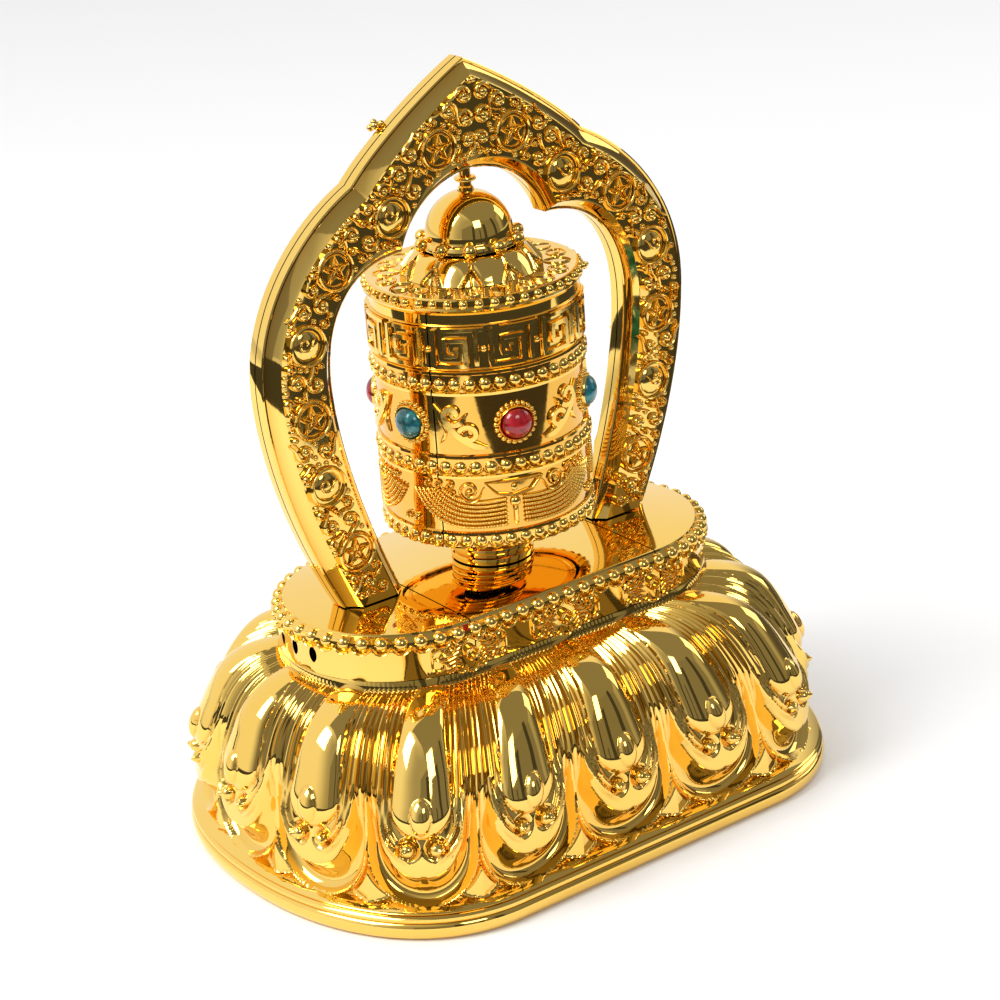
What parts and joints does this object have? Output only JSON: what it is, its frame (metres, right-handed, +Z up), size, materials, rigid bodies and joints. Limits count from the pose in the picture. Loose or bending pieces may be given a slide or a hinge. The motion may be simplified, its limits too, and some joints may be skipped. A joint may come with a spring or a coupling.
{
  "type": "prayer wheel",
  "caption": "Gilt table-top prayer wheel: stone-set drum spinning under a pointed arch on a bead-edged pedestal and an oval lotus base.",
  "frame": {"origin": "middle of the foot's underside", "axes": "+X along the arch and the base's long side, -Y the front, +Z up along the drum's spindle"},
  "size_m": [0.13, 0.094, 0.1512],
  "materials": {
    "gold": "mirror-bright gold vacuum plating on moulded plastic",
    "steel": "bright turned steel",
    "brass": "turned brass",
    "paper": "plain rolled paper",
    "coral": "mottled coral-red, half gloss",
    "turquoise": "mottled turquoise, half gloss",
    "black_plastic": "black moulded plastic",
    "clear_plastic": "translucent white",
    "felt": "pale felt"
  },
  "bodies": {
    "root": {"foot_tray": "gold", "lotus_base": "gold", "pedestal_middle": "gold", "pedestal_end_left": "gold", "pedestal_end_right": "gold", "arch_front": "gold", "arch_rear": "gold", "leg_block_left": "black_plastic", "leg_block_right": "black_plastic", "base_screw_1": "steel", "base_screw_2": "steel", "base_screw_3": "steel", "base_screw_4": "steel", "arch_screw_left": "steel", "arch_screw_right": "steel", "neck_collar": "gold", "lower_bush": "brass", "thrust_washer": "steel", "top_bush": "brass"},
    "drum": {"drum_shell_front": "gold", "drum_shell_rear": "gold", "drum_lid": "gold", "drum_floor": "gold", "star_collar": "gold", "drum_dome": "gold", "spindle": "steel", "retaining_clip": "steel", "mantra_roll": "paper", "coral_stone_1": "coral", "coral_stone_2": "coral", "coral_stone_3": "coral", "turquoise_stone_1": "turquoise", "turquoise_stone_2": "turquoise", "turquoise_stone_3": "turquoise"},
    "hatch": {"scent_hatch": "black_plastic", "scent_cup": "clear_plastic", "scent_pad": "felt"}
  },
  "joints": [
    {"name": "drum_spin", "type": "hinge", "parent": "root", "child": "drum", "pos_m": [0, 0, 0.085], "axis": [0, 0, 1], "continuous": true},
    {"name": "hatch_twist", "type": "hinge", "parent": "root", "child": "hatch", "pos_m": [-0.033, 0, 0.001], "axis": [0, 0, 1], "range_deg": [0, 40]}
  ]
}
